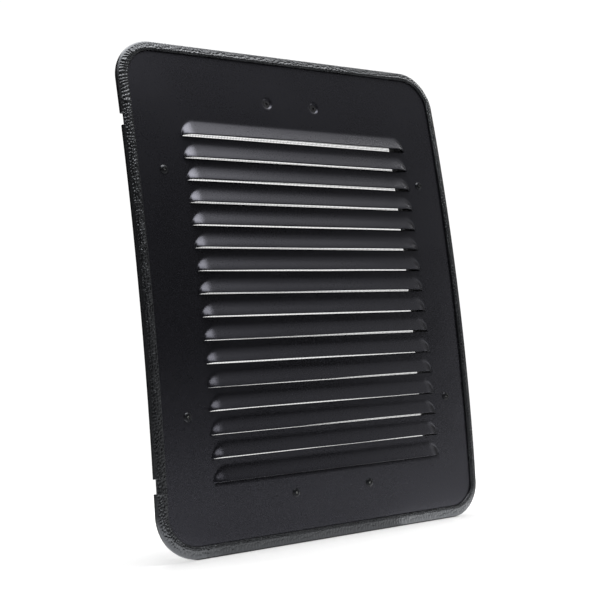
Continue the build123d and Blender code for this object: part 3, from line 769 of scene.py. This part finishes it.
def powder_coat(name, color, rough=0.42, peel=0.00006):
    """Satin powder coat: orange peel and a little unevenness in gloss."""
    m, nt, b = new_material(name)
    big = noise(nt, 9, 3, 0.5)
    fine = noise(nt, 950, 2, 0.6)
    peelish = noise(nt, 420, 1, 0.4)
    col = ramp(nt, big.outputs["Fac"], [(0.3, tuple(c * 0.93 for c in color)), (0.7, tuple(c * 1.08 for c in color))])
    nt.links.new(col.outputs["Color"], b.inputs["Base Color"])
    mixr = node(nt, "ShaderNodeMath", operation="ADD")
    r1 = span(nt, big.outputs["Fac"], rough - 0.03, rough + 0.03, 0.3, 0.7)
    r2 = span(nt, fine.outputs["Fac"], -0.04, 0.04, 0.25, 0.75)
    nt.links.new(r1.outputs["Result"], mixr.inputs[0])
    nt.links.new(r2.outputs["Result"], mixr.inputs[1])
    nt.links.new(mixr.outputs[0], b.inputs["Roughness"])
    b1 = bump(nt, peelish.outputs["Fac"], peel, 0.7)
    b2 = bump(nt, fine.outputs["Fac"], peel * 0.35, 0.6, b1.outputs["Normal"])
    nt.links.new(b2.outputs["Normal"], b.inputs["Normal"])
    b.inputs["IOR"].default_value = 1.5
    b.inputs["Specular IOR Level"].default_value = 0.5
    return m, nt, b


m_panel, nt, b = powder_coat("panel_powder_coat", (0.0055, 0.0055, 0.0068), 0.29)
b.inputs["Specular Tint"].default_value = (0.85, 0.85, 1.0, 1)

m_frame, nt, b = powder_coat("frame_powder_coat", (0.02, 0.02, 0.022), 0.45)

# soft black PVC with painted shade: darker in the grain's hollows, at the legs' tips and on the flat outer side, and
# paler on the grain's tops
m_trim, nt, b = new_material("grained_pvc")
at = node(nt, "ShaderNodeAttribute", attribute_name="painted_shade")
n1 = noise(nt, 1400, 2, 0.6)
n2 = noise(nt, 60, 3, 0.5)
col = ramp(nt, at.outputs["Fac"], [(0.0, (0.0085, 0.0085, 0.0095)), (0.4, (0.003, 0.003, 0.0034)), (1.0, (0.0015, 0.0015, 0.0017))])
nt.links.new(col.outputs["Color"], b.inputs["Base Color"])
rr = span(nt, n2.outputs["Fac"], 0.26, 0.33, 0.3, 0.7)
nt.links.new(rr.outputs["Result"], b.inputs["Roughness"])
bb = bump(nt, n1.outputs["Fac"], 0.00003, 0.6)
nt.links.new(bb.outputs["Normal"], b.inputs["Normal"])
b.inputs["IOR"].default_value = 1.5
b.inputs["Specular IOR Level"].default_value = 0.5
b.inputs["Specular Tint"].default_value = (0.9, 0.94, 1.0, 1)

# glass-fibre threads coated in black PVC
m_mesh, nt, b = new_material("mesh_thread")
n1 = noise(nt, 2200, 2, 0.5)
col = ramp(nt, n1.outputs["Fac"], [(0.3, (0.02, 0.02, 0.021)), (0.7, (0.045, 0.045, 0.047))])
nt.links.new(col.outputs["Color"], b.inputs["Base Color"])
rr = span(nt, n1.outputs["Fac"], 0.5, 0.7, 0.3, 0.7)
nt.links.new(rr.outputs["Result"], b.inputs["Roughness"])
bb = bump(nt, n1.outputs["Fac"], 0.00004, 0.6)
nt.links.new(bb.outputs["Normal"], b.inputs["Normal"])

# black painted rivets: a harder gloss
m_rivet, nt, b = new_material("rivet_paint")
n1 = noise(nt, 700, 3, 0.6)
col = ramp(nt, n1.outputs["Fac"], [(0.35, (0.0025, 0.0025, 0.003)), (0.75, (0.0055, 0.0055, 0.0065))])
nt.links.new(col.outputs["Color"], b.inputs["Base Color"])
rr = span(nt, n1.outputs["Fac"], 0.25, 0.35, 0.3, 0.7)
nt.links.new(rr.outputs["Result"], b.inputs["Roughness"])
bb = bump(nt, n1.outputs["Fac"], 0.00005, 0.6)
nt.links.new(bb.outputs["Normal"], b.inputs["Normal"])
b.inputs["Specular IOR Level"].default_value = 0.3
b.inputs["Specular Tint"].default_value = (0.9, 0.93, 1.0, 1)

# blackened steel of the two screws
m_screw, nt, b = new_material("blackened_steel")
n1 = noise(nt, 900, 4, 0.6)
col = ramp(nt, n1.outputs["Fac"], [(0.35, (0.02, 0.02, 0.022)), (0.75, (0.06, 0.06, 0.064))])
nt.links.new(col.outputs["Color"], b.inputs["Base Color"])
b.inputs["Metallic"].default_value = 0.6
rr = span(nt, n1.outputs["Fac"], 0.3, 0.45, 0.3, 0.7)
nt.links.new(rr.outputs["Result"], b.inputs["Roughness"])
bb = bump(nt, n1.outputs["Fac"], 0.00004, 0.5)
nt.links.new(bb.outputs["Normal"], b.inputs["Normal"])

# zinc plate on nuts, washers and mandrels
m_zinc, nt, b = new_material("zinc_plate")
n1 = noise(nt, 500, 4, 0.65)
n2 = noise(nt, 2600, 2, 0.6)
col = ramp(nt, n1.outputs["Fac"], [(0.3, (0.42, 0.43, 0.42)), (0.7, (0.62, 0.62, 0.6))])
nt.links.new(col.outputs["Color"], b.inputs["Base Color"])
b.inputs["Metallic"].default_value = 1.0
rr = span(nt, n1.outputs["Fac"], 0.24, 0.4, 0.3, 0.7)
nt.links.new(rr.outputs["Result"], b.inputs["Roughness"])
bb = bump(nt, n2.outputs["Fac"], 0.00003, 0.5)
nt.links.new(bb.outputs["Normal"], b.inputs["Normal"])

# bare spring steel of the clip strip
m_clip, nt, b = new_material("spring_steel")
n1 = noise(nt, 300, 4, 0.6)
col = ramp(nt, n1.outputs["Fac"], [(0.3, (0.28, 0.28, 0.28)), (0.7, (0.42, 0.42, 0.41))])
nt.links.new(col.outputs["Color"], b.inputs["Base Color"])
b.inputs["Metallic"].default_value = 1.0
rr = span(nt, n1.outputs["Fac"], 0.3, 0.45, 0.3, 0.7)
nt.links.new(rr.outputs["Result"], b.inputs["Roughness"])


def paint(o, m):
    if o.data.materials:
        for i in range(len(o.data.materials)):
            o.data.materials[i] = m
    else:
        o.data.materials.append(m)


paint(panel, m_panel)
paint(trim, m_trim)
paint(net, m_mesh)
paint(clip, m_clip)
for name, o in nodes.items():
    if name.startswith("mesh_frame") or name == "grip_bracket":
        paint(o, m_frame)
    elif name.startswith("rivet_") and name != "rivet_mandrels":
        paint(o, m_rivet)
    elif name.startswith("top_screw"):
        paint(o, m_screw)
    elif name in ("rivet_mandrels", "top_washers") or name.startswith("top_nut"):
        paint(o, m_zinc)

# =============================================================================
# camera, at the photograph's viewing angle
# =============================================================================
YAW, PITCH_DOWN, LEAN = math.radians(36.36), math.radians(1.50), math.radians(10.23)


def from_photo(x, d, z):
    """A direction or offset in the photo's upright world, turned to the row frame, where the panel is upright."""
    return Vector((x, -z * math.sin(LEAN) + d * math.cos(LEAN), z * math.cos(LEAN) + d * math.sin(LEAN)))


right = from_photo(math.cos(YAW), -math.sin(YAW), 0)
ahead = from_photo(math.sin(YAW) * math.cos(PITCH_DOWN), math.cos(YAW) * math.cos(PITCH_DOWN), -math.sin(PITCH_DOWN))
up = right.cross(ahead)
place = from_photo(-654.5, -868.0, 19.6) + Vector((0, Y_MID, Z_MID))
cam_data = bpy.data.cameras.new("camera")
cam = bpy.data.objects.new("camera", cam_data)
bpy.context.scene.collection.objects.link(cam)
mat = Matrix((right, up, -ahead)).transposed().to_4x4()
mat.translation = place * MM
cam.matrix_world = mat
cam_data.sensor_width = 36.0
cam_data.lens = 1190.0 / 600.0 * 36.0
cam_data.clip_start, cam_data.clip_end = 0.02, 60.0
cam_data.shift_x, cam_data.shift_y = -0.8 / 600, 0.0
bpy.context.scene.camera = cam

# =============================================================================
# floor, world and lights
# =============================================================================
def quad_object(name, corners):
    me = bpy.data.meshes.new(name)
    me.from_pydata(corners, [], [tuple(range(len(corners)))])
    o = bpy.data.objects.new(name, me)
    bpy.context.scene.collection.objects.link(o)
    return o


def from_view(direction):
    return Vector(from_photo(*direction)).normalized()


def bearing(az, el):
    """Direction with azimuth az from the panel's front, to the right positive, and elevation el, in degrees."""
    a, e = math.radians(az), math.radians(el)
    return (math.sin(a) * math.cos(e), -math.cos(a) * math.cos(e), math.sin(e))


# white floor: a painted glow, seen only by the camera and stronger away from the panel, lifts it to white, so that
# only a faint shadow shows
floor = quad_object("floor", [(-6, -6, 0), (6, -6, 0), (6, 6, 0), (-6, 6, 0)])
m_floor, nt, b = new_material("floor_white")
b.inputs["Base Color"].default_value = (0.5, 0.5, 0.5, 1)
b.inputs["Roughness"].default_value = 0.8
tc = node(nt, "ShaderNodeTexCoord")
far = node(nt, "ShaderNodeVectorMath", operation="LENGTH")
nt.links.new(tc.outputs["Object"], far.inputs[0])
glow = span(nt, far.outputs["Value"], 0.3, 1.0, 0.15, 0.9)
# painted glow: emission that only camera rays see, weak near the panel and strong far off
painted_floor_glow = node(nt, "ShaderNodeEmission")
lpf = node(nt, "ShaderNodeLightPath")
seen_glow = node(nt, "ShaderNodeMath", operation="MULTIPLY")
nt.links.new(glow.outputs["Result"], seen_glow.inputs[0])
nt.links.new(lpf.outputs["Is Camera Ray"], seen_glow.inputs[1])
nt.links.new(seen_glow.outputs[0], painted_floor_glow.inputs["Strength"])
both = node(nt, "ShaderNodeAddShader")
nt.links.new(b.outputs["BSDF"], both.inputs[0])
nt.links.new(painted_floor_glow.outputs["Emission"], both.inputs[1])
nt.links.new(both.outputs["Shader"], nt.nodes["Material Output"].inputs["Surface"])
paint(floor, m_floor)

# the room: plain white behind, and soft bright patches where the big softboxes hang
PATCHES = [((74, 38), 0.45), ((52, 38), 0.235), ((80, 20), 0.17), ((125, 4), 0.5), ((-72, -2), 0.4)]
world = bpy.data.worlds.new("studio")
bpy.context.scene.world = world
world.use_nodes = True
wn = world.node_tree
wn.nodes.clear()
out = node(wn, "ShaderNodeOutputWorld")
mixw = node(wn, "ShaderNodeMixShader")
lp = node(wn, "ShaderNodeLightPath")
seen = node(wn, "ShaderNodeBackground")
seen.inputs["Color"].default_value = (1, 1, 1, 1)
seen.inputs["Strength"].default_value = 1.05
room = node(wn, "ShaderNodeBackground")
room.inputs["Color"].default_value = (1, 1, 1, 1)
wtc = node(wn, "ShaderNodeTexCoord")
total = None
for (where, strength) in PATCHES:
    dot = node(wn, "ShaderNodeVectorMath", operation="DOT_PRODUCT")
    dot.inputs[1].default_value = from_view(bearing(*where))
    wn.links.new(wtc.outputs["Generated"], dot.inputs[0])
    m1 = node(wn, "ShaderNodeMath", operation="MULTIPLY_ADD")
    m1.inputs[1].default_value, m1.inputs[2].default_value = 25.0, -25.0
    wn.links.new(dot.outputs["Value"], m1.inputs[0])
    m2 = node(wn, "ShaderNodeMath", operation="EXPONENT")
    wn.links.new(m1.outputs[0], m2.inputs[0])
    m3 = node(wn, "ShaderNodeMath", operation="MULTIPLY_ADD")
    m3.inputs[1].default_value = strength
    m3.inputs[2].default_value = 0.054 if total is None else 0.0
    wn.links.new(m2.outputs[0], m3.inputs[0])
    if total is not None:
        wn.links.new(total.outputs[0], m3.inputs[2])
    total = m3
wn.links.new(total.outputs[0], room.inputs["Strength"])
wn.links.new(lp.outputs["Is Camera Ray"], mixw.inputs["Fac"])
wn.links.new(room.outputs["Background"], mixw.inputs[1])
wn.links.new(seen.outputs["Background"], mixw.inputs[2])
wn.links.new(mixw.outputs["Shader"], out.inputs["Surface"])


def softbox(name, place, facing, size, size_y, power):
    """An area light at place (m) that faces along facing; the camera doesn't see it."""
    data = bpy.data.lights.new(name, "AREA")
    data.shape = "RECTANGLE"
    data.size, data.size_y, data.energy = size, size_y, power
    o = bpy.data.objects.new(name, data)
    bpy.context.scene.collection.objects.link(o)
    o.location = place
    o.rotation_mode = "QUATERNION"
    o.rotation_quaternion = (-Vector(facing)).to_track_quat("Z", "Y")
    o.visible_camera = False
    return o


MIDDLE = Vector((0, Y_MID, Z_MID)) * MM
softbox("top_rear", (0.45, 0.15, 0.85), (0, 0, -1), 1.5, 0.3, 9.7)
softbox("top_left", (-0.15, -0.15, 0.85), (0, 0, -1), 0.3, 0.3, 1.2)
softbox("top_middle", (0.15, -0.15, 0.85), (0, 0, -1), 0.3, 0.3, 0.45)
softbox("top_right", (0.45, -0.15, 0.85), (0, 0, -1), 0.3, 0.3, 0.23)
softbox("top_front", (0.15, -0.45, 0.85), (0, 0, -1), 0.3, 0.3, 0.204)
side = Vector((math.sin(math.radians(37)), -math.cos(math.radians(37)), 0))
softbox("side_low", (0.90, -0.45, 0.16), -side, 0.3, 0.3, 0.565)
softbox("side_high", (0.90, -0.45, 0.44), -side, 0.3, 0.3, 0.226)
key = Vector((-0.0897, -0.347, 0.9336))
softbox("front_left", MIDDLE + key * 1.5, -key, 1.2, 1.2, 27.0)
back = from_view(bearing(160, 35))
softbox("behind", MIDDLE + back * 1.5, -back, 1.0, 0.8, 4.5)
# glare off the floor close in front of the lower edge: it shows only in the edge trim
softbox("low_left", (-0.214, -0.02, 0.001), (0, 0, 1), 0.128, 0.08, 0.096)
softbox("low_left_step", (-0.142, -0.02, 0.001), (0, 0, 1), 0.016, 0.05, 0.0059)
softbox("low_left_end", (-0.127, -0.0155, 0.001), (0, 0, 1), 0.014, 0.029, 0.0021)
softbox("low_middle", (-0.02, -0.0155, 0.001), (0, 0, 1), 0.20, 0.029, 0.021)
softbox("low_right", (0.15, -0.0155, 0.001), (0, 0, 1), 0.14, 0.029, 0.037)

scene = bpy.context.scene
scene.view_settings.view_transform = "Standard"
scene.view_settings.look = "None"
